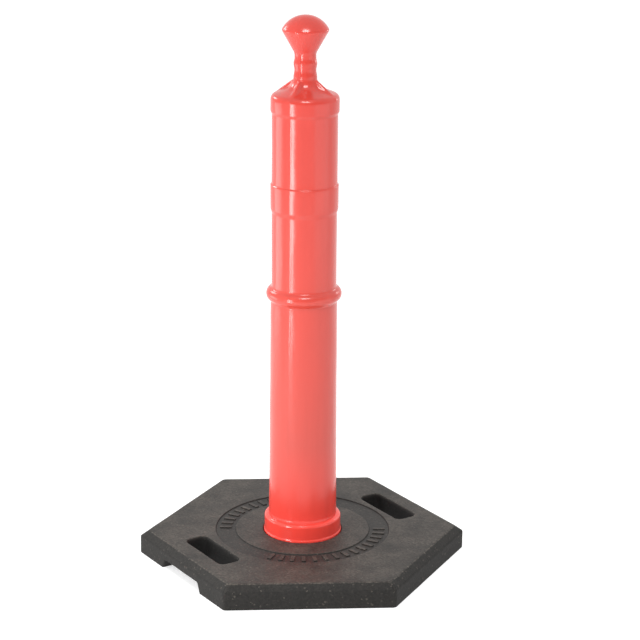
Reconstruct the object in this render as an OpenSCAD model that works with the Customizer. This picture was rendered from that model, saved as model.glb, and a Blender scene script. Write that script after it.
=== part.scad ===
// Portable delineator post: a hollow blow-moulded post standing in a moulded rubber base.
// The base drops over the top of the post and comes to rest around the post's foot.
// Frame: +Z is up, the origin is the centre of the underside on the ground, and +X runs through the hand slots.

/* [Base] */
// Distance across the flats of the hexagonal base
base_flats = 456; // [440:1:480]
// Height of the base
base_h = 38.6; // [34:0.2:44]
// Rise of the sloped edge around the top
edge_rise = 10; // [6:0.5:14]
// Run of the sloped edge around the top
edge_run = 12.5; // [8:0.5:15]
// Radius of the six upright corners
base_corner_r = 7; // [3:0.5:12]

/* [Hand slots] */
// Distance from the post's axis to the middle of each slot
slot_x = 169; // [164:1:174]
// Length of each slot
slot_len = 112; // [100:1:125]
// Width of each slot
slot_w = 36; // [32:1:42]
// Corner radius of each slot
slot_corner_r = 10; // [6:0.5:15]

/* [Finger notches] */
// Half width of each notch where it meets the ground
notch_foot = 59; // [50:1:64]
// Half width of each notch at its roof, before the corners are rounded
notch_roof = 50; // [40:1:54]
// Height of each notch
notch_h = 15; // [12:0.5:20]
// How far each notch runs in from the side wall
notch_depth = 28; // [22:1:36]
// Radius of the roof's corners
notch_corner_r = 5; // [2:0.5:8]

/* [Ring on the base's top] */
// Inner radius of the sunk ring
ring_in_r = 108; // [95:1:115]
// Outer radius of the sunk ring
ring_out_r = 140.5; // [130:0.5:144]
// Depth of the sunk ring
ring_depth = 1.6; // [0.8:0.1:3]
// Number of raised grip bars in each half of the ring
bar_count = 15; // [5:1:19]
// Angle between neighbouring bars
bar_step = 8; // [5:0.5:9]
// Length of a bar, along the radius
bar_len = 19; // [10:1:24]
// Width of a bar
bar_w = 6.5; // [3:0.5:9]

/* [Post foot] */
// Radius of the flange under the base
foot_r = 72; // [68:1:85]
// Thickness of the flange
foot_h = 6; // [4:0.5:8]
// Radius of the tapered seat where it leaves the flange
seat_low_r = 62.5; // [61:0.1:64]
// Radius of the seat where its rounded shoulder begins
seat_top_r = 61.4; // [60:0.1:61.4]
// Height at which the seat's shoulder begins
seat_z = 61; // [50:1:66]
// Radius of the seat's rounded shoulder
seat_edge_r = 5; // [4.2:0.1:6]

/* [Post tube] */
// Radius of the tube just above its foot
tube_low_r = 54.3; // [53:0.1:55]
// Radius of the tube just below the bead
tube_high_r = 52.2; // [51.5:0.1:53]
// Thickness of the moulded wall
wall = 3.5; // [2.5:0.1:4]
// Quarter turns apart from this, how far the post is turned in its base, in degrees
post_turn = 31.5; // [0:0.5:89.5]

/* [Bead and collar recesses] */
// Height of the middle of the bead
bead_z = 436; // [430:1:442]
// Radius of the bead
bead_r = 59.2; // [57:0.1:60]
// Radius of the bead's round nose
bead_nose_r = 11; // [9:0.5:13]
// Radius of the fillets above and below the bead
bead_fillet_r = 5; // [3:0.5:7]
// Radius of the two recesses that take a 4 in collar
recess_r = 50.8; // [50.2:0.1:51.4]
// Height of the lower recess's upper end
band_low_z = 565; // [560:1:570]
// Height of the band's upper end, where the upper recess begins
band_high_z = 613; // [608:1:618]
// Radius of the band between the recesses
band_r = 52.7; // [52:0.1:53.5]
// Height at which the upper recess ends
recess_top_z = 720; // [715:1:724]

/* [Shoulder and gussets] */
// Radius of the rim around the shoulder
rim_r = 53; // [52:0.1:54]
// Radius of the shoulder's rounded edge
rim_edge_r = 10; // [6:0.5:12]
// Height at which the rounded edge begins
rim_z = 743; // [738:1:746]
// Slope of the shoulder above level, in degrees
shoulder_slope = 20; // [12:1:26]
// Radius of the fillet between the shoulder and the neck
neck_fillet_r = 20; // [14:1:22]
// Number of gussets between the neck and the shoulder
gusset_count = 4; // [2:1:6]
// Thickness of a gusset
gusset_t = 9; // [6:0.5:12]
// Height at which a gusset meets the neck
gusset_top_z = 774.5; // [768:0.5:778]

/* [Neck and knob] */
// Radius at the crest of the neck's two grip rings
ring_crest_r = 18; // [17.6:0.1:18.6]
// Radius of the hollows above each grip ring
ring_hollow_r = 16.8; // [16:0.1:17.4]
// Height between the two grip rings
ring_pitch = 21.5; // [19:0.5:22]
// Angle of the knob's flare from upright, in degrees
flare_angle = 29.3; // [26:0.1:32]
// Radius of the fillet under the flare
flare_fillet_r = 14; // [8:1:18]
// Radius of the knob
knob_r = 35.8; // [34:0.1:37.5]
// Radius of the knob's rounded edge
knob_edge_r = 4.3; // [4.1:0.1:6]
// Height of the knob's widest line
knob_z = 849; // [846:1:852]
// Height of the top of the knob
post_h = 871.7; // [868:0.1:876]

/* [Hidden] */
$fn = 96;
// Gap between the base and the foot of the post
fit_gap = 0.4;
// How far a cut runs past the face that it opens
past = 1;
// Steps in an arc or a ramp
steps = 8;
sides = 6;
half_turn = 180;
apothem = base_flats / 2;
hole_r = seat_low_r + fit_gap;
floor_z = base_h - ring_depth;
neck_z = rim_z + rim_edge_r * cos(shoulder_slope) + neck_fillet_r * cos(shoulder_slope)
    + (rim_r - rim_edge_r * (1 - sin(shoulder_slope)) - ring_crest_r - neck_fillet_r * (1 - sin(shoulder_slope)))
    * tan(shoulder_slope);
knob_arc_r = knob_r - knob_edge_r;
knob_rise = post_h - knob_z;
dome_r = (knob_arc_r ^ 2 + knob_rise ^ 2 - knob_edge_r ^ 2) / (2 * (knob_rise - knob_edge_r));
dome_z = post_h - dome_r;
dome_angle = atan2(knob_z - dome_z, knob_arc_r);
flare_z = knob_z - (knob_edge_r + flare_fillet_r
    + (knob_arc_r - ring_hollow_r - flare_fillet_r) * cos(flare_angle)) / sin(flare_angle);
notch_lean = atan2(notch_foot - notch_roof, notch_h);

// Points of an arc about [x, y] with radius r, from angle a to angle b
function arc(x, y, r, a, b, n = steps) =
    [for (i = [0:n]) let (t = a + (b - a) * i / n) [x + r * cos(t), y + r * sin(t)]];

// Points of a smooth ramp between two radii
function ramp(r0, z0, r1, z1, n = steps) =
    [for (i = [0:n]) [r0 + (r1 - r0) * (1 - cos(half_turn * i / n)) / 2, z0 + (z1 - z0) * i / n]];

// Height from the bead's middle to the centre of the fillet that joins it to a wall of radius r
function bead_reach(r) =
    sqrt((bead_nose_r + bead_fillet_r) ^ 2 - (r + bead_fillet_r - bead_r + bead_nose_r) ^ 2);

// Where that fillet touches the bead, as an angle at the bead's middle
function bead_angle(r) = atan2(bead_reach(r), r + bead_fillet_r - bead_r + bead_nose_r);

// The post's flank from its seat to the top of its knob, moved in by t
function flank(t) = concat(
    [[seat_low_r - t, foot_h]],
    arc(seat_top_r - seat_edge_r, seat_z, seat_edge_r - t, 0, 80),
    ramp(tube_low_r + 0.8 - t, seat_z + seat_edge_r + 0.4 - t, tube_low_r - t, seat_z + 11, 3),
    arc(tube_high_r + bead_fillet_r, bead_z - bead_reach(tube_high_r), bead_fillet_r + t,
        half_turn, half_turn - bead_angle(tube_high_r)),
    arc(bead_r - bead_nose_r, bead_z, bead_nose_r - t, -bead_angle(tube_high_r), bead_angle(recess_r)),
    arc(recess_r + bead_fillet_r, bead_z + bead_reach(recess_r), bead_fillet_r + t,
        half_turn + bead_angle(recess_r), half_turn),
    ramp(recess_r - t, band_low_z, band_r - t, band_low_z + 9),
    ramp(band_r - t, band_high_z - 3, recess_r - t, band_high_z),
    ramp(recess_r - t, recess_top_z, rim_r - t, recess_top_z + 7),
    arc(rim_r - rim_edge_r, rim_z, rim_edge_r - t, 0, 90 - shoulder_slope),
    arc(ring_crest_r + neck_fillet_r, neck_z, neck_fillet_r + t, 270 - shoulder_slope, half_turn),
    ramp(ring_crest_r - t, neck_z + 1, ring_hollow_r - t, neck_z + ring_pitch / 2),
    ramp(ring_hollow_r - t, neck_z + ring_pitch / 2 + 0.5, ring_crest_r - t, neck_z + ring_pitch),
    ramp(ring_crest_r - t, neck_z + ring_pitch + 0.5, ring_hollow_r - t, neck_z + ring_pitch + 8),
    arc(ring_hollow_r + flare_fillet_r, flare_z, flare_fillet_r + t, half_turn, half_turn - flare_angle),
    arc(knob_arc_r, knob_z, knob_edge_r - t, -flare_angle, dome_angle),
    arc(0, dome_z, dome_r - t, dome_angle + 4, 90, 2 * steps)
);

// Solid of revolution inside the moulded wall, open at the ground
module post_hollow() {
    rotate_extrude()
        polygon(concat([[0, -past], [seat_low_r - wall, -past]], flank(wall)));
}

// One gusset: a thin web under a round ridge that runs straight from the neck to the rim
module gusset() {
    ridge_r = gusset_t / 2;
    top = [ring_crest_r - ridge_r, gusset_top_z - ridge_r];
    foot = [rim_r - rim_edge_r / 2 - ridge_r, rim_z + rim_edge_r / 2 - ridge_r / 2];
    run = foot - top;
    rotate([90, 0, 0])
        linear_extrude(gusset_t, center = true)
            polygon([[0, top.y], top, foot, [foot.x, rim_z - 2], [0, rim_z - 2]]);
    translate([top.x, 0, top.y])
        rotate([0, 90 + atan2(-run.y, run.x), 0])
            cylinder(r = ridge_r, h = norm(run));
    translate([foot.x, 0, foot.y])
        sphere(ridge_r);
}

// Six-sided outline with rounded corners and flats facing +X and -X
module base_outline() {
    inset = (apothem - base_corner_r) / cos(half_turn / sides);
    for (i = [0:sides - 1]) {
        rotate(i * 360 / sides)
            translate([0, -inset / 2])
                square([apothem, inset]);
        rotate((i + 0.5) * 360 / sides)
            translate([inset, 0])
                circle(base_corner_r);
    }
}

// The six planes that slope the top edge of the base
module edge_slopes() {
    for (i = [0:sides - 1])
        rotate([90, 0, i * 360 / sides])
            linear_extrude(2 * base_flats, center = true)
                polygon([
                    [apothem + edge_run, base_h - 2 * edge_rise],
                    [apothem + edge_run, base_h + edge_rise],
                    [apothem - 2 * edge_run, base_h + edge_rise]
                ]);
}

// One through slot for a hand, centred on the origin
module hand_slot() {
    reach = [slot_w / 2 - slot_corner_r, slot_len / 2 - slot_corner_r];
    translate([-slot_w / 2, -reach.y, -past])
        cube([slot_w, 2 * reach.y, base_h + 2 * past]);
    translate([-reach.x, -slot_len / 2, -past])
        cube([2 * reach.x, slot_len, base_h + 2 * past]);
    for (x = [-reach.x, reach.x], y = [-reach.y, reach.y])
        translate([x, y, -past])
            cylinder(r = slot_corner_r, h = base_h + 2 * past);
}

// One finger notch, which runs in under the edge and stops short of the slot
module finger_notch() {
    corner_z = notch_h - notch_corner_r;
    corner_y = notch_foot - corner_z * tan(notch_lean) - notch_corner_r / cos(notch_lean);
    below = past * tan(notch_lean);
    corner = arc(corner_y, corner_z, notch_corner_r, notch_lean, 90);
    outline = concat([[notch_foot + below, -past]], corner);
    mirrored = [for (i = [len(outline) - 1:-1:0]) [-outline[i].x, outline[i].y]];
    translate([apothem - notch_depth, 0, 0])
        rotate([90, 0, 90])
            linear_extrude(notch_depth + past)
                polygon(concat(outline, mirrored));
}

// The raised grip bars of one half of the ring, about +Y
module grip_bars() {
    middle_r = (ring_in_r + ring_out_r) / 2;
    for (i = [0:bar_count - 1])
        rotate((i - (bar_count - 1) / 2) * bar_step)
            translate([-bar_w / 2, middle_r - bar_len / 2, floor_z - past])
                cube([bar_w, bar_len, past + ring_depth]);
}

module post() {
    color("#F0645C")
        rotate(post_turn)
            difference() {
                union() {
                    rotate_extrude()
                        polygon(concat([[0, 0], [foot_r, 0], [foot_r, foot_h]], flank(0)));
                    for (i = [0:gusset_count - 1])
                        rotate(i * 360 / gusset_count)
                            gusset();
                }
                post_hollow();
            }
}

module base() {
    color("#5F5850")
        union() {
            difference() {
                linear_extrude(base_h)
                    base_outline();
                edge_slopes();
                translate([0, 0, -past])
                    cylinder(r = hole_r, h = base_h + 2 * past);
                translate([0, 0, -past])
                    cylinder(r = foot_r + 2 * fit_gap, h = foot_h + fit_gap + past);
                for (side = [0, half_turn])
                    rotate(side) {
                        translate([slot_x, 0, 0])
                            hand_slot();
                        finger_notch();
                    }
                difference() {
                    translate([0, 0, floor_z])
                        cylinder(r = ring_out_r, h = ring_depth + past);
                    translate([0, 0, floor_z - past])
                        cylinder(r = ring_in_r, h = ring_depth + 3 * past);
                }
            }
            for (side = [0, half_turn])
                rotate(side)
                    grip_bars();
        }
}

post();
base();
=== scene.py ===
import math

import bmesh
import bpy
from mathutils import Matrix, Vector, noise


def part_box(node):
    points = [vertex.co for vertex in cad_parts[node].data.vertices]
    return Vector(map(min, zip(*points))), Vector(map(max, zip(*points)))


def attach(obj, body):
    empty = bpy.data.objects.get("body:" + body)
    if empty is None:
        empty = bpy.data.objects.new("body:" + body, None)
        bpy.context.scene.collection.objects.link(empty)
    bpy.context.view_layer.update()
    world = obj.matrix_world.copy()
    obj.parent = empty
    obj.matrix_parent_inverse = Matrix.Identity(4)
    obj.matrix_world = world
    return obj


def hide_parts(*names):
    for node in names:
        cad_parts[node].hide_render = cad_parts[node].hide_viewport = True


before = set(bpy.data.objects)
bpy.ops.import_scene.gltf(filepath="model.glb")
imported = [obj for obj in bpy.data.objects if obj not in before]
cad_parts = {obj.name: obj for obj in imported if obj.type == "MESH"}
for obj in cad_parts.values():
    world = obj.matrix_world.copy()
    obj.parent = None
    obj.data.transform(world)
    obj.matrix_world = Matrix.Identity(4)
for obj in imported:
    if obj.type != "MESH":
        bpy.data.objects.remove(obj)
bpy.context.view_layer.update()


# -----------------------------------------------------------------------------------------------------------
# The post
# One hollow blow-moulded shell of low-density polyethylene: knob, ribbed neck, shoulder with four gussets,
# two collar recesses, a bead, and a tapered seat that ends in the foot flange under the base.
# -----------------------------------------------------------------------------------------------------------

# Sizes are in mm and angles in degrees, from the foot up.
MM = 0.001
post_low, post_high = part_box("post")
post_top = post_high.z / MM
wall, post_turn = 3.5, 31.5

foot_r, foot_h = (post_high.x - post_low.x) / 2 / MM, 6.0
foot_low_edge, foot_top_edge = 0.6, 1.0
seat_low_r, seat_top_r, seat_z = 62.5, 61.4, 61.0
seat_edge_r, seat_edge_turn = 5.0, 80
lip_z, lip_rise = 39.4, 2.8
lip_edge_r, lip_edge_turn = 0.1, 60
lip_fillet_r, lip_fillet_turn = 2.6, 52

tube_low_r, tube_high_r = 54.3, 52.2
tube_flare, tube_flare_gap, tube_flare_h = 0.8, 0.4, 11
bead_r, bead_z = 59.2, 436.0
bead_nose_r, bead_fillet_r = 11.0, 5.0

recess_r, recess_top_z = 50.8, 720.0
band_r, band_low_z, band_high_z = 52.7, 565.0, 613.0
band_low_ramp, band_high_ramp, rim_ramp = 9, 3, 7
rim_r, rim_z, rim_edge_r = 53.0, 743.0, 10.0
shoulder_slope, neck_fillet_r = 20.0, 20.0

crest_r, hollow_r, ring_pitch = 18.0, 16.7, 21.5
ring_start, ring_gap, ring_fade = 1, 0.5, 8
flare_angle, flare_fillet_r = 29.3, 14.0
knob_r, knob_z, knob_edge_r = 35.8, 849.0, 4.3
dome_start = 4

gussets, gusset_half_width = 4, 4.2
gusset_top_z, gusset_margin = 774.5, 4
gusset_foot_r = rim_r - rim_edge_r / 2 + 1.5
gusset_foot_z = rim_z + rim_edge_r / 2 + 2.6

# The wall's slow waves, the parting ridge, and how finely the outline is divided.
wave_round, wave_height, sway_run = 1.2, 90, 60
broad_wave, broad_sway = 1.7, 0.35
fine_wave, fine_sway = 5.1, 0.12
parting = 0.3
spin_steps, weld = 192, 0.02
gusset_step, outer_step, inner_step = 1.4, 14, 30


def arc(x, z, r, a, b, n):
    """Points of an arc about (x, z) from angle a to angle b, in degrees."""
    angles = [math.radians(a + (b - a) * i / n) for i in range(n + 1)]
    return [(x + r * math.cos(t), z + r * math.sin(t)) for t in angles]


def ramp(r0, z0, r1, z1, n):
    """Points of a smooth ramp from one radius to another."""
    steps = [i / n for i in range(n + 1)]
    return [(r0 + (r1 - r0) * (1 - math.cos(math.pi * s)) / 2, z0 + (z1 - z0) * s) for s in steps]


def bead_blend(r):
    """Where the bead's nose meets its fillet beside a tube of radius r: height above its middle, angle."""
    run = r + bead_fillet_r - bead_r + bead_nose_r
    reach = math.sqrt((bead_nose_r + bead_fillet_r) ** 2 - run ** 2)
    return reach, math.degrees(math.atan2(reach, run))


def post_flank(t, n):
    """The post's outline in mm from its seat to its knob, moved in by t, with n steps to most curves."""
    seat = (
        [(seat_low_r - t, foot_h), (seat_low_r - t, lip_z)]
        + arc(seat_low_r - lip_edge_r - t, lip_z, lip_edge_r, 0, lip_edge_turn, 2)
        + arc(seat_top_r + lip_fillet_r - t, lip_z + lip_rise, lip_fillet_r, 180 + lip_fillet_turn, 180, 5)
        + arc(seat_top_r - seat_edge_r, seat_z, seat_edge_r - t, 0, seat_edge_turn, n)
    )

    low_reach, low_turn = bead_blend(tube_high_r)
    high_reach, high_turn = bead_blend(recess_r)
    tube_z = seat_z + seat_edge_r + tube_flare_gap - t
    tube = (
        ramp(tube_low_r + tube_flare - t, tube_z, tube_low_r - t, seat_z + tube_flare_h, 4)
        + arc(tube_high_r + bead_fillet_r, bead_z - low_reach, bead_fillet_r + t, 180, 180 - low_turn, n)
        + arc(bead_r - bead_nose_r, bead_z, bead_nose_r - t, -low_turn, high_turn, 2 * n)
        + arc(recess_r + bead_fillet_r, bead_z + high_reach, bead_fillet_r + t, 180 + high_turn, 180, n)
    )

    recesses = (
        ramp(recess_r - t, band_low_z, band_r - t, band_low_z + band_low_ramp, n)
        + ramp(band_r - t, band_high_z - band_high_ramp, recess_r - t, band_high_z, n)
        + ramp(recess_r - t, recess_top_z, rim_r - t, recess_top_z + rim_ramp, n)
    )

    slope = math.radians(shoulder_slope)
    level = rim_r - rim_edge_r * (1 - math.sin(slope)) - crest_r - neck_fillet_r * (1 - math.sin(slope))
    neck_z = rim_z + (rim_edge_r + neck_fillet_r) * math.cos(slope) + level * math.tan(slope)
    shoulder = (
        arc(rim_r - rim_edge_r, rim_z, rim_edge_r - t, 0, 90 - shoulder_slope, n)
        + arc(crest_r + neck_fillet_r, neck_z, neck_fillet_r + t, 270 - shoulder_slope, 180, 2 * n)
    )

    ring_z = neck_z + ring_pitch
    neck = (
        ramp(crest_r - t, neck_z + ring_start, hollow_r - t, neck_z + ring_pitch / 2, n)
        + ramp(hollow_r - t, neck_z + ring_pitch / 2 + ring_gap, crest_r - t, ring_z, n)
        + ramp(crest_r - t, ring_z + ring_gap, hollow_r - t, ring_z + ring_fade, n)
    )

    flare = math.radians(flare_angle)
    knob_arc, rise = knob_r - knob_edge_r, post_top - knob_z
    dome_r = (knob_arc ** 2 + rise ** 2 - knob_edge_r ** 2) / (2 * (rise - knob_edge_r))
    dome_z = post_top - dome_r
    dome_turn = math.degrees(math.atan2(knob_z - dome_z, knob_arc))
    edge = knob_edge_r + flare_fillet_r + (knob_arc - hollow_r - flare_fillet_r) * math.cos(flare)
    flare_z = knob_z - edge / math.sin(flare)
    knob = (
        arc(hollow_r + flare_fillet_r, flare_z, flare_fillet_r + t, 180, 180 - flare_angle, n)
        + arc(knob_arc, knob_z, knob_edge_r - t, -flare_angle, dome_turn, n)
        + arc(0, dome_z, dome_r - t, dome_turn + dome_start, 90, 2 * n)
    )
    return seat + tube + recesses + shoulder + neck + knob


def spaced(points, longest):
    """The same outline with points added so that no step is longer than the given length."""
    out = [points[0]]
    for (r0, z0), (r1, z1) in zip(points, points[1:]):
        step = math.hypot(r1 - r0, z1 - z0)
        if step < weld:
            continue
        count = math.ceil(step / longest)
        out += [(r0 + (r1 - r0) * i / count, z0 + (z1 - z0) * i / count) for i in range(1, count + 1)]
    return out


def spun(points):
    """A bmesh in mm of an outline turned once round Z."""
    bm = bmesh.new()
    verts = [bm.verts.new((r, 0, z)) for r, z in points]
    edges = [bm.edges.new(pair) for pair in zip(verts, verts[1:])]
    bmesh.ops.spin(bm, geom=verts + edges, cent=(0, 0, 0), axis=(0, 0, 1), angle=math.tau,
                   steps=spin_steps, use_merge=True)
    bmesh.ops.remove_doubles(bm, verts=bm.verts, dist=weld)
    bmesh.ops.recalc_face_normals(bm, faces=bm.faces)
    return bm


def new_object(name, bm):
    """A new object from a bmesh, which it uses up."""
    mesh = bpy.data.meshes.new(name)
    bm.to_mesh(mesh)
    bm.free()
    obj = bpy.data.objects.new(name, mesh)
    bpy.context.scene.collection.objects.link(obj)
    return obj


def finish_mesh(mesh, sharp_angle):
    """Brings a mesh from mm to metres and shades it smooth up to the given angle between faces."""
    mesh.transform(Matrix.Scale(MM, 4))
    mesh.shade_smooth()
    mesh.set_sharp_from_angle(angle=math.radians(sharp_angle))


def unevenness(turned, z):
    """How far the wall stands out at an angle and a height: slow waves, and a ridge at each parting."""
    free = min(1, max(0, (z - seat_z) / sway_run))
    along = Vector((math.cos(turned) * wave_round, math.sin(turned) * wave_round, z / wave_height))
    fine = noise.noise(along * fine_wave + Vector((7, 3, 1))) * fine_sway
    sway = (noise.noise(along * broad_wave) * broad_sway + fine) * free
    if abs(math.sin(turned)) < 0.5 / spin_steps:
        sway += parting * free
    return sway


def gusset_rise(r, turned, z):
    """How far the shoulder rises towards a gusset's sloping crest, falling away to both sides of it."""
    nearest = round(turned / (math.tau / gussets)) * math.tau / gussets
    aside = r * math.sin(turned - nearest)
    line = gusset_top_z + (gusset_foot_z - gusset_top_z) * (r - crest_r) / (gusset_foot_r - crest_r)
    return max(0, line - z) / (1 + (abs(aside) / gusset_half_width) ** 4)


outline = [
    (seat_low_r - wall, 0),
    (foot_r - foot_low_edge, 0),
    (foot_r, foot_low_edge),
    (foot_r, foot_h - foot_top_edge),
    (foot_r - foot_top_edge, foot_h),
] + post_flank(0, 8)
outside = []
for a, b in zip(outline, outline[1:]):
    under_gussets = rim_z < a[1] < gusset_top_z + gusset_margin
    outside += spaced([a, b], gusset_step if under_gussets else outer_step)[:-1]
outside.append((0, post_top))
inside = spaced([(seat_low_r - wall, 0)] + post_flank(wall, 4)[1:], inner_step)

shell = spun(outside)
for v in shell.verts:
    r, z = math.hypot(v.co.x, v.co.y), v.co.z
    turned = math.atan2(v.co.y, v.co.x)
    if r > crest_r / 2:
        stretch = 1 + unevenness(turned, z) / r
        v.co.x *= stretch
        v.co.y *= stretch
    if rim_z < z < gusset_top_z + gusset_margin and r > crest_r - 1:
        v.co.z += gusset_rise(r, turned, z)

# The inner wall is the outline moved in by the wall's thickness, facing the hollow and joined at the foot.
hollow = spun(inside)
bmesh.ops.reverse_faces(hollow, faces=hollow.faces)
scratch = bpy.data.meshes.new("hollow")
hollow.to_mesh(scratch)
hollow.free()
shell.from_mesh(scratch)
bpy.data.meshes.remove(scratch)
bmesh.ops.remove_doubles(shell, verts=[v for v in shell.verts if v.co.z < 0.01], dist=weld)
bmesh.ops.rotate(shell, verts=shell.verts, cent=(0, 0, 0),
                 matrix=Matrix.Rotation(math.radians(post_turn), 3, "Z"))
post = new_object("post_shell", shell)
finish_mesh(post.data, sharp_angle=50)


def linear(hex_colour):
    """A linear RGBA colour from an sRGB hex value."""
    parts = [int(hex_colour[i:i + 2], 16) / 255 for i in (1, 3, 5)]
    return [c / 12.92 if c <= 0.04045 else ((c + 0.055) / 1.055) ** 2.4 for c in parts] + [1]


def add(nodes, kind, inputs=None, **settings):
    """Adds one shader node with its settings, and sets or links its inputs."""
    node = nodes.new(kind)
    for key, value in settings.items():
        setattr(node, key, value)
    for key, value in (inputs or {}).items():
        if isinstance(value, bpy.types.NodeSocket):
            node.id_data.links.new(value, node.inputs[key])
        else:
            node.inputs[key].default_value = value
    return node


def moulded_polyethylene():
    """Pigmented LDPE from a lightly blasted mould: a soft sheen, faint flow streaks, and fine grain.

    The colour is lightest just above the seat and darker up the tube. The real grain is about 0.2 mm wide,
    and it is drawn coarser so that it shows.
    """
    streak_w, streak_len, grain_w, cloud_w = 16.7, 333, 1.11, 71.4
    mat = bpy.data.materials.new("moulded_polyethylene")
    mat.use_nodes = True
    nodes, links = mat.node_tree.nodes, mat.node_tree.links
    shader = nodes["Principled BSDF"]
    place = add(nodes, "ShaderNodeTexCoord").outputs["Object"]

    streak_scale = (1 / (streak_w * MM), 1 / (streak_w * MM), 1 / (streak_len * MM))
    drawn = add(nodes, "ShaderNodeMapping", {"Vector": place, "Scale": streak_scale}).outputs["Vector"]
    streaks = add(nodes, "ShaderNodeTexNoise", {"Vector": drawn, "Scale": 1.0, "Detail": 4.0}).outputs["Fac"]
    shade = add(nodes, "ShaderNodeMapRange",
                {"Value": streaks, "From Min": 0.3, "From Max": 0.7, "To Min": 0.93}).outputs["Result"]
    height = add(nodes, "ShaderNodeSeparateXYZ", {"Vector": place}).outputs["Z"]
    # The colour runs from lighter just above the seat to darker at the rim.
    level = add(nodes, "ShaderNodeMapRange",
                {"Value": height, "From Min": seat_z * MM, "From Max": rim_z * MM}).outputs["Result"]
    height_tint = add(nodes, "ShaderNodeValToRGB", {"Fac": level})
    stops = height_tint.color_ramp.elements
    stops[0].position, stops[0].color = 0.0, linear("#F0463B")
    stops[1].position, stops[1].color = 1.0, linear("#C83E34")
    stops.new(0.2).color = linear("#CA4A3F")
    colour = add(nodes, "ShaderNodeMix", {"Factor": 1.0, "A": height_tint.outputs["Color"], "B": shade},
                 data_type="RGBA", blend_type="MULTIPLY").outputs["Result"]
    links.new(colour, shader.inputs["Base Color"])

    cloud = add(nodes, "ShaderNodeTexNoise",
                {"Vector": place, "Scale": 1 / (cloud_w * MM), "Detail": 3.0}).outputs["Fac"]
    rough = add(nodes, "ShaderNodeMapRange",
                {"Value": cloud, "To Min": 0.16, "To Max": 0.25}).outputs["Result"]
    links.new(rough, shader.inputs["Roughness"])
    grain = add(nodes, "ShaderNodeTexNoise",
                {"Vector": place, "Scale": 1 / (grain_w * MM), "Detail": 2.0}).outputs["Fac"]
    bump = add(nodes, "ShaderNodeBump",
               {"Height": grain, "Strength": 0.08, "Distance": 0.5 * MM}).outputs["Normal"]
    links.new(bump, shader.inputs["Normal"])
    shader.inputs["IOR"].default_value = 1.51
    return mat


post.data.materials.append(moulded_polyethylene())
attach(post, "post")
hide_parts("post")


# -----------------------------------------------------------------------------------------------------------
# The base
# A hexagonal slab pressed from bound crumb rubber, with a sloped edge, two hand slots, a finger notch under
# each of two sides, a sunk ring on top, and a hole with a counterbore that clears the post's foot.
# -----------------------------------------------------------------------------------------------------------

base_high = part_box("base")[1]
apothem, base_h = base_high.x / MM, base_high.z / MM
edge_rise, edge_run = 10, 12.5
corner_r, edge_soft, foot_soft = 7, 2.4, 0.8

slot_x, slot_w, slot_len = 169, 36, 112
slot_corner_r, slot_lip = 10, 3.5
notch_foot, notch_roof, notch_h, notch_depth = 59, 50, 15, 28
notch_corner_r, notch_corner_half_turn = 5, 32

hole_r, mouth_lip = 62.9, 2.4
bore_r, bore_h, bore_chamfer = foot_r + 0.8, foot_h + 0.4, 1
ring_in_r, ring_out_r, ring_depth = 108, 140.5, 1.6
bars, bar_step = 15, 8
bar_len, bar_w, bar_soft, bar_root = 19, 6.5, 0.8, 0.2

# How far a cutter runs past a surface, the size of the cells that the faces are divided into, and the waves.
past = 2
cell, wave_len = 12, 60
sink, shrink = 0.3, 0.35


def along_z(edge):
    """How upright an edge is, from 0 for level to 1 for upright."""
    return abs(edge.verts[0].co.z - edge.verts[1].co.z) / edge.calc_length()


def soften(bm, edges, offset, segments):
    """Rounds edges of a bmesh."""
    bmesh.ops.bevel(bm, geom=edges, affect="EDGES", offset=offset, segments=segments, profile=0.5,
                    material=-1)


def flare(bm, side, radius):
    """Opens the cutter's end on one side into a rounded mouth, and carries it on past the surface."""
    face = max(bm.faces, key=lambda f: f.calc_center_median().dot(side))
    turns = [math.radians(15 * i) for i in range(7)]
    stages = [(radius * (math.sin(b) - math.sin(a)), radius * (math.cos(a) - math.cos(b)))
              for a, b in zip(turns, turns[1:])]
    for rise, spread in stages + [(past, 0)]:
        grown = bmesh.ops.extrude_face_region(bm, geom=[face])["geom"]
        bmesh.ops.delete(bm, geom=[face], context="FACES_ONLY")
        verts = [g for g in grown if isinstance(g, bmesh.types.BMVert)]
        face = next(g for g in grown if isinstance(g, bmesh.types.BMFace))
        low = Vector([min(v.co[i] for v in verts) for i in range(3)])
        high = Vector([max(v.co[i] for v in verts) for i in range(3)])
        factor = [1 if abs(side[i]) > 0.5 else 1 + 2 * spread / (high[i] - low[i]) for i in range(3)]
        bmesh.ops.scale(bm, verts=verts, vec=factor, space=Matrix.Translation(-(low + high) / 2))
        bmesh.ops.translate(bm, verts=verts, vec=side * rise)


def block(bm, place, size, turn=Matrix()):
    """Adds a box with its middle at a place, turned about the post's axis."""
    matrix = turn @ Matrix.LocRotScale(place, None, size)
    bmesh.ops.create_cube(bm, size=1, matrix=matrix)


# The slab: a hexagonal block with a sloped rim, then rounded corners, top edges and foot.
slab = bmesh.new()
shoulder_h = base_h - edge_rise
corner_reach = apothem / math.cos(math.pi / 6)
bmesh.ops.create_cone(slab, cap_ends=True, segments=6, radius1=corner_reach, radius2=corner_reach,
                      depth=shoulder_h, matrix=Matrix.Translation((0, 0, shoulder_h / 2)))
top = max(slab.faces, key=lambda f: f.calc_center_median().z)
bmesh.ops.inset_region(slab, faces=[top], thickness=edge_run, use_even_offset=True)
bmesh.ops.translate(slab, verts=top.verts, vec=(0, 0, edge_rise))
soften(slab, [e for e in slab.edges if along_z(e) > 0.2], corner_r * math.tan(math.pi / 6), 5)
soften(slab, [e for e in slab.edges if along_z(e) < 0.01 and e.verts[0].co.z > 1], edge_soft, 3)
soften(slab, [e for e in slab.edges if along_z(e) < 0.01 and e.verts[0].co.z < 0.01], foot_soft, 2)
base = new_object("base_slab", slab)

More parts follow.
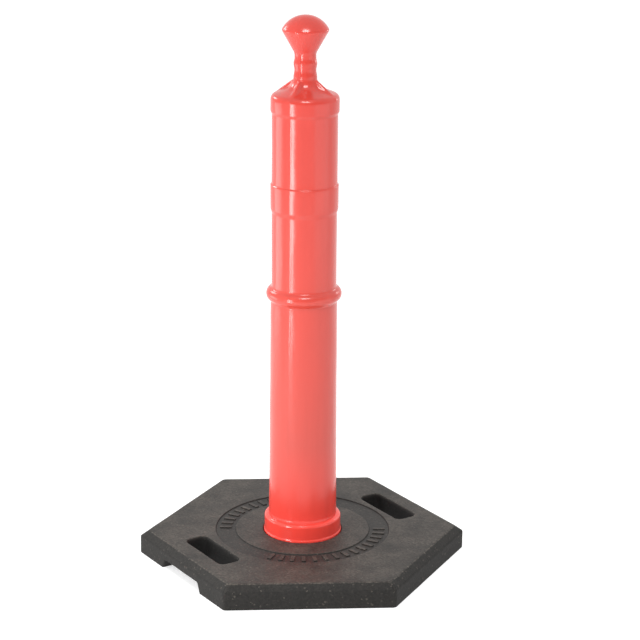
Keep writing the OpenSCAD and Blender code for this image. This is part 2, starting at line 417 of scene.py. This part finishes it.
# The cutters: the stepped hole, the sunk ring, and a slot and a notch on each side.
hole = (
    [(0, -past), (bore_r + bore_chamfer, -past), (bore_r + bore_chamfer, 0), (bore_r, bore_chamfer)]
    + [(bore_r, bore_h), (hole_r, bore_h)]
    + arc(hole_r + mouth_lip, base_h - mouth_lip, mouth_lip, 180, 90, 5)
    + [(hole_r + mouth_lip, base_h + past), (0, base_h + past)]
)
# The ring's side, as distances out and down: a slope, a softened edge, and a straight run past the top.
ring_side = [(-0.9, ring_depth), (0.3, 0.2), (1, 0), (1, -past)]
ring_outer = [(ring_out_r + run, base_h - drop) for run, drop in ring_side]
ring_inner = [(ring_in_r - run, base_h - drop) for run, drop in reversed(ring_side)]
cutters = [spun(hole), spun(ring_inner[-1:] + ring_outer + ring_inner)]

for side in (-1, 1):
    slot = bmesh.new()
    block(slot, (side * slot_x, 0, (base_h - slot_lip - past) / 2),
          (slot_w, slot_len, base_h - slot_lip + past))
    soften(slot, [e for e in slot.edges if along_z(e) > 0.9], slot_corner_r, 8)
    flare(slot, Vector((0, 0, 1)), slot_lip)
    notch = bmesh.new()
    block(notch, (side * (apothem - (notch_depth + slot_lip) / 2), 0, (notch_h - past) / 2),
          (notch_depth - slot_lip, 2 * notch_foot, notch_h + past))
    roof = [v for v in notch.verts if v.co.z > 0]
    bmesh.ops.scale(notch, verts=roof, vec=(1, notch_roof / notch_foot, 1))
    roof_ends = [e for e in notch.edges
                 if all(v.co.z > 0 for v in e.verts) and abs(e.verts[0].co.y - e.verts[1].co.y) < 1]
    soften(notch, roof_ends, notch_corner_r * math.tan(math.radians(notch_corner_half_turn)), 6)
    flare(notch, Vector((side, 0, 0)), slot_lip)
    cutters += [slot, notch]

# The grip bars stand on the ring's floor as high as the slab's top.
grips = bmesh.new()
ring_floor = base_h - ring_depth
for half in (90, 270):
    for i in range(bars):
        turn = Matrix.Rotation(math.radians(half + (i - (bars - 1) / 2) * bar_step), 4, "Z")
        block(grips, ((ring_in_r + ring_out_r) / 2, 0, ring_floor - bar_root),
              (bar_len, bar_w, 2 * (ring_depth + bar_root)), turn)
soften(grips, [e for e in grips.edges if all(v.co.z > ring_floor for v in e.verts)], bar_soft, 2)

for tool, operation in [(c, "DIFFERENCE") for c in cutters] + [(grips, "UNION")]:
    bmesh.ops.recalc_face_normals(tool, faces=tool.faces)
    cut = base.modifiers.new("cut", "BOOLEAN")
    cut.object = new_object("tool", tool)
    cut.operation = operation
    cut.solver = "MANIFOLD"
bpy.context.view_layer.update()
finished = bpy.data.meshes.new_from_object(base.evaluated_get(bpy.context.evaluated_depsgraph_get()))
for cut in base.modifiers:
    bpy.data.objects.remove(cut.object)
base.modifiers.clear()
base.data = finished
finished.materials.clear()

# The top sinks and the outer walls draw in a little unevenly, as a pressing does when it cools.
bm = bmesh.new()
bm.from_mesh(finished)
for axis, reach in ((Vector((1, 0, 0)), apothem), (Vector((0, 1, 0)), corner_reach)):
    for i in range(-int(reach / cell), int(reach / cell) + 1):
        bmesh.ops.bisect_plane(bm, geom=bm.verts[:] + bm.edges[:] + bm.faces[:],
                               plane_co=axis * i * cell, plane_no=axis)
bmesh.ops.remove_doubles(bm, verts=bm.verts, dist=0.01)
for v in bm.verts:
    place = v.co / wave_len
    r = math.hypot(v.co.x, v.co.y)
    if v.co.z > bore_h + 1:
        v.co.z -= sink + sink * noise.noise(place + Vector((3, 1, 4)))
    if r > apothem / 2:
        sway = shrink + shrink * noise.noise(place * 2)
        v.co.x -= v.co.x / r * sway
        v.co.y -= v.co.y / r * sway
bm.to_mesh(finished)
bm.free()
finish_mesh(finished, sharp_angle=42)
weights = base.modifiers.new("even_normals", "WEIGHTED_NORMAL")
weights.keep_sharp = True


def crumb_rubber():
    """Tyre crumb of 1 to 3 mm bound and pressed in a mould: dark, matt, faintly mottled.

    Grey dust lies on level faces, and the sunk ring's floor is kept darker with less of it: painted shade.
    Rounded edges are rubbed paler, and this also paints the highlight that they catch. The walls of the
    slots are painted with shade, darkest deep down. The pores between the crumbs swallow part of the sheen,
    and they are drawn at the coarse end of their size so that they show.
    """
    crumb_w, mottle_w, chip_w, pore_w = 2.6, 45, 4, 1.5
    edge_tilt, edge_span = 0.9, 0.07
    dark_from, dark_to, dark_margin = 2, 7, 2
    mat = bpy.data.materials.new("crumb_rubber")
    mat.use_nodes = True
    nodes, links = mat.node_tree.nodes, mat.node_tree.links
    shader = nodes["Principled BSDF"]
    place = add(nodes, "ShaderNodeTexCoord").outputs["Object"]
    spot = add(nodes, "ShaderNodeSeparateXYZ", {"Vector": place}).outputs
    normal = add(nodes, "ShaderNodeNewGeometry").outputs["Normal"]
    upward = add(nodes, "ShaderNodeSeparateXYZ", {"Vector": normal}).outputs["Z"]

    crumbs = add(nodes, "ShaderNodeTexVoronoi", {"Vector": place, "Scale": 1 / (crumb_w * MM)}).outputs
    shade = add(nodes, "ShaderNodeSeparateColor", {"Color": crumbs["Color"]}).outputs["Red"]
    tones = add(nodes, "ShaderNodeValToRGB", {"Fac": shade})
    stops = tones.color_ramp.elements
    stops[0].position, stops[0].color = 0.0, linear("#1C1B19")
    stops[1].position, stops[1].color = 0.97, linear("#262422")
    stops.new(0.99).color = linear("#403C37")

    cloud = add(nodes, "ShaderNodeTexNoise",
                {"Vector": place, "Scale": 1 / (mottle_w * MM), "Detail": 5.0}).outputs["Fac"]
    patches = add(nodes, "ShaderNodeMapRange",
                  {"Value": cloud, "From Min": 0.25, "From Max": 0.75,
                   "To Min": 0.04, "To Max": 0.26}).outputs["Result"]
    caught = add(nodes, "ShaderNodeMapRange",
                 {"Value": shade, "To Min": 0.6, "To Max": 1.4}).outputs["Result"]
    grainy = add(nodes, "ShaderNodeMath", {0: caught, 1: patches}, operation="MULTIPLY").outputs["Value"]
    facing = add(nodes, "ShaderNodeMapRange", {"Value": upward, "From Min": 0.7}).outputs["Result"]
    dust = add(nodes, "ShaderNodeMath", {0: facing, 1: grainy}, operation="MULTIPLY").outputs["Value"]
    # Painted shade: the dust thins towards the sunk ring's floor, so the recess reads darker.
    ring_floor_shade = add(nodes, "ShaderNodeMapRange",
                   {"Value": spot["Z"], "From Min": ring_floor * MM, "From Max": (base_h - 0.7) * MM,
                    "To Min": 0.3}).outputs["Result"]
    dust_and_ring_shade = add(nodes, "ShaderNodeMath", {0: dust, 1: ring_floor_shade}, operation="MULTIPLY").outputs["Value"]
    dusty_and_ring_shaded = add(nodes, "ShaderNodeMix",
                {"Factor": dust_and_ring_shade, "A": tones.outputs["Color"], "B": linear("#7D746A")},
                data_type="RGBA").outputs["Result"]

    # Rounded edges are made paler: partly wear, partly a painted highlight along them.
    edge = add(nodes, "ShaderNodeMath", {0: upward, 1: edge_tilt, 2: edge_span},
               operation="COMPARE").outputs["Value"]
    chips = add(nodes, "ShaderNodeTexNoise",
                {"Vector": place, "Scale": 1 / (chip_w * MM), "Detail": 4.0}).outputs["Fac"]
    rubbed_and_lit = add(nodes, "ShaderNodeMapRange",
                 {"Value": chips, "From Min": 0.45, "From Max": 0.7, "To Max": 0.5}).outputs["Result"]
    wear_and_highlight = add(nodes, "ShaderNodeMath", {0: edge, 1: rubbed_and_lit}, operation="MULTIPLY").outputs["Value"]
    worn_and_highlit = add(nodes, "ShaderNodeMix", {"Factor": wear_and_highlight, "A": dusty_and_ring_shaded, "B": linear("#6E675E")},
               data_type="RGBA").outputs["Result"]

    # Painted shade: the walls inside the slots are darkened towards their depths.
    across = add(nodes, "ShaderNodeMath", {0: spot["X"]}, operation="ABSOLUTE").outputs["Value"]
    beside = add(nodes, "ShaderNodeMath",
                 {0: across, 1: slot_x * MM, 2: (slot_w / 2 + dark_margin) * MM},
                 operation="COMPARE").outputs["Value"]
    along = add(nodes, "ShaderNodeMath",
                {0: spot["Y"], 1: 0.0, 2: (slot_len / 2 + dark_margin) * MM},
                operation="COMPARE").outputs["Value"]
    in_slot = add(nodes, "ShaderNodeMath", {0: beside, 1: along}, operation="MULTIPLY").outputs["Value"]
    deep = add(nodes, "ShaderNodeMapRange",
               {"Value": spot["Z"], "From Min": (base_h - dark_to) * MM,
                "From Max": (base_h - dark_from) * MM, "To Min": 0.8, "To Max": 0.0}).outputs["Result"]
    shaded = add(nodes, "ShaderNodeMath", {0: in_slot, 1: deep}, operation="MULTIPLY").outputs["Value"]
    colour = add(nodes, "ShaderNodeMix", {"Factor": shaded, "A": worn_and_highlit, "B": linear("#0E0D0C")},
                 data_type="RGBA").outputs["Result"]
    links.new(colour, shader.inputs["Base Color"])

    pores = add(nodes, "ShaderNodeTexNoise",
                {"Vector": place, "Scale": 1 / (pore_w * MM), "Detail": 3.0}).outputs["Fac"]
    coarse = add(nodes, "ShaderNodeBump",
                 {"Height": crumbs["Distance"], "Strength": 0.35, "Distance": 0.5 * MM}).outputs["Normal"]
    bump = add(nodes, "ShaderNodeBump",
               {"Height": pores, "Normal": coarse, "Strength": 0.3, "Distance": 0.3 * MM}).outputs["Normal"]
    links.new(bump, shader.inputs["Normal"])
    rough = add(nodes, "ShaderNodeMapRange",
                {"Value": facing, "To Min": 0.8, "To Max": 0.56}).outputs["Result"]
    links.new(rough, shader.inputs["Roughness"])
    shader.inputs["IOR"].default_value = 1.5
    shader.inputs["Specular IOR Level"].default_value = 0.33
    return mat


base.data.materials.append(crumb_rubber())
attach(base, "base")
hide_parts("base")


# -----------------------------------------------------------------------------------------------------------
# The studio
# A pale floor lit from within, a white surround that is dimmer on the camera's side, the camera, and soft
# boxes at the sides, behind and above. The floor lies just under the base, so the two never share a plane.
# -----------------------------------------------------------------------------------------------------------

scene = bpy.context.scene
scene.view_settings.view_transform = "Standard"
floor_half, floor_z = 30, -0.2 * MM
bm = bmesh.new()
bmesh.ops.create_grid(bm, x_segments=1, y_segments=1, size=floor_half,
                      matrix=Matrix.Translation((0, 0, floor_z)))
floor = new_object("floor", bm)


def backlit_acrylic():
    """Opal acrylic sheet lit from below: an even white with no gloss."""
    mat = bpy.data.materials.new("backlit_acrylic")
    mat.use_nodes = True
    shader = mat.node_tree.nodes["Principled BSDF"].inputs
    shader["Base Color"].default_value = linear("#CFCFCF")
    shader["Roughness"].default_value = 0.9
    shader["Emission Color"].default_value = linear("#FFFFFF")
    shader["Emission Strength"].default_value = 0.56
    return mat


floor.data.materials.append(backlit_acrylic())

camera_azimuth, camera_elevation = math.radians(-33.52), math.radians(17.41)
camera_roll = math.radians(0.51)
camera_distance, camera_lens = 3.264, 116.8
target = Vector((0.0213, -0.0141, 0.391))


def direction(azimuth, elevation):
    """The unit vector from the object towards a place seen at that azimuth and elevation."""
    level = math.cos(elevation)
    return Vector((math.sin(azimuth) * level, -math.cos(azimuth) * level, math.sin(elevation)))


world = bpy.data.worlds.new("white_surround")
scene.world = world
world.use_nodes = True
surround = world.node_tree.nodes
surround["Background"].inputs["Color"].default_value = (1, 1, 1, 1)
dim_side = direction(camera_azimuth + math.radians(10), 0)
dim_from, dim_to, dimmest = 0.1, 0.9, 0.34
sky = add(surround, "ShaderNodeTexCoord").outputs["Generated"]
nearness = add(surround, "ShaderNodeVectorMath", {0: sky, 1: dim_side},
               operation="DOT_PRODUCT").outputs["Value"]
dimmed = add(surround, "ShaderNodeMapRange",
             {"Value": nearness, "From Min": dim_from, "From Max": dim_to, "To Min": 1.0,
              "To Max": dimmest}, interpolation_type="SMOOTHSTEP").outputs["Result"]
world.node_tree.links.new(dimmed, surround["Background"].inputs["Strength"])

camera = bpy.data.objects.new("camera", bpy.data.cameras.new("camera"))
camera.data.lens = camera_lens
towards = direction(camera_azimuth, camera_elevation)
camera.location = target + towards * camera_distance
aim = (-towards).to_track_quat("-Z", "Y").to_matrix()
camera.rotation_euler = (aim @ Matrix.Rotation(camera_roll, 3, "Z")).to_euler()
scene.collection.objects.link(camera)
scene.camera = camera


def soft_box(name, azimuth, elevation, distance, size, brightness, aim_z, shape="RECTANGLE"):
    """A soft light aimed at a height on the post's axis; its azimuth is counted from the camera's.

    Angles are in degrees and lengths in metres, and its power grows with its brightness and its size.
    """
    data = bpy.data.lights.new(name, "AREA")
    data.shape = shape
    data.size, data.size_y = size
    data.energy = brightness * math.pi * size[0] * size[1]
    obj = bpy.data.objects.new(name, data)
    away = direction(camera_azimuth + math.radians(azimuth), math.radians(elevation))
    obj.location = Vector((0, 0, aim_z)) + away * distance
    obj.rotation_euler = (-away).to_track_quat("-Z", "Y").to_euler()
    obj.visible_camera = False
    scene.collection.objects.link(obj)


soft_box("left_box", azimuth=-43, elevation=0, distance=1.15, size=(0.24, 0.8), brightness=14.0, aim_z=0.45)
soft_box("right_box", azimuth=62, elevation=0, distance=1.8, size=(1.8, 0.9), brightness=0.7, aim_z=0.45)
soft_box("back_left_box", azimuth=-100, elevation=0, distance=1.4, size=(0.8, 0.6), brightness=2.6,
         aim_z=0.25)
soft_box("rim_left_box", azimuth=-130, elevation=28, distance=1.8, size=(0.5, 0.4), brightness=8.0,
         aim_z=0.5, shape="ELLIPSE")
soft_box("rim_right_box", azimuth=132, elevation=14, distance=1.8, size=(0.45, 0.35), brightness=3.5,
         aim_z=0.5, shape="ELLIPSE")
soft_box("top_box", azimuth=4, elevation=56, distance=2.2, size=(0.9, 0.6), brightness=13.0,
         aim_z=0.6, shape="ELLIPSE")
